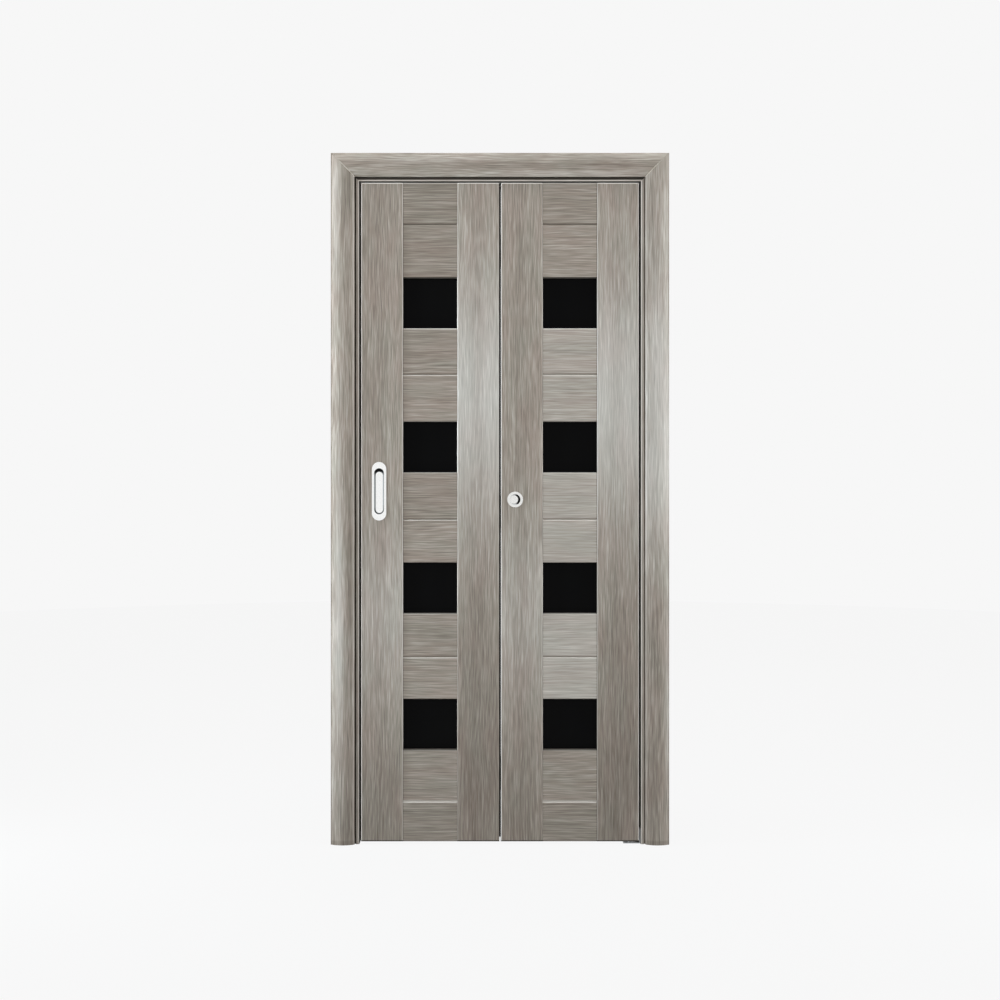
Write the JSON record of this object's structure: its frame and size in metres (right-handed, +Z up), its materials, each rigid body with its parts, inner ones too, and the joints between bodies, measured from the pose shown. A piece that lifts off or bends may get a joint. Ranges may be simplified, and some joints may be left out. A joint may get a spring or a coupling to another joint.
{
  "type": "two-leaf folding door in its frame",
  "caption": "Interior folding door of two framed leaves with black glass strips, closed in its jambs and rounded architraves, with flush pulls.",
  "frame": {"origin": "on the pivot jamb's outer fixing face, at floor level, at half the frame's depth", "axes": "+Z up, +X along the wall out of the pivot jamb's fixing face, +Y through the wall to the rear; the front is seen from -Y and the door lies at -X"},
  "size_m": [1.026, 0.108, 2.097],
  "materials": {
    "leaf_laminate": "matt grey oak laminate, its grain along each stile and rail",
    "frame_laminate": "matt grey oak laminate wrapped along the length of jambs, stops and architraves",
    "black_glass": "flat black lacquered glass",
    "satin_chrome": "bright satin chrome",
    "aluminium": "mill-finish extrusion",
    "zinc_steel": "zinc-plated steel",
    "black_rubber": "matt black seal"
  },
  "bodies": {
    "root": {"flush_pulls": "satin_chrome", "fold_hinges": "zinc_steel", "frame_brush_seal": "black_rubber", "front_architrave_head": "frame_laminate", "front_architrave_lead": "frame_laminate", "front_architrave_pivot": "frame_laminate", "head_jamb": "frame_laminate", "head_stop": "frame_laminate", "lead_jamb": "frame_laminate", "lead_stop": "frame_laminate", "left_leaf_glass": "black_glass", "left_leaf_left_stile": "leaf_laminate", "left_leaf_rail_01": "leaf_laminate", "left_leaf_rail_02": "leaf_laminate", "left_leaf_rail_03": "leaf_laminate", "left_leaf_rail_04": "leaf_laminate", "left_leaf_rail_05": "leaf_laminate", "left_leaf_rail_06": "leaf_laminate", "left_leaf_rail_07": "leaf_laminate", "left_leaf_rail_08": "leaf_laminate", "left_leaf_rail_09": "leaf_laminate", "left_leaf_rail_10": "leaf_laminate", "left_leaf_right_stile": "leaf_laminate", "meeting_seal": "black_rubber", "pivot_jamb": "frame_laminate", "pivot_stop": "frame_laminate", "rear_architrave_head": "frame_laminate", "rear_architrave_lead": "frame_laminate", "rear_architrave_pivot": "frame_laminate", "right_leaf_glass": "black_glass", "right_leaf_left_stile": "leaf_laminate", "right_leaf_rail_01": "leaf_laminate", "right_leaf_rail_02": "leaf_laminate", "right_leaf_rail_03": "leaf_laminate", "right_leaf_rail_04": "leaf_laminate", "right_leaf_rail_05": "leaf_laminate", "right_leaf_rail_06": "leaf_laminate", "right_leaf_rail_07": "leaf_laminate", "right_leaf_rail_08": "leaf_laminate", "right_leaf_rail_09": "leaf_laminate", "right_leaf_rail_10": "leaf_laminate", "right_leaf_right_stile": "leaf_laminate", "roller_and_pivots": "zinc_steel", "top_track": "aluminium"}
  },
  "joints": []
}
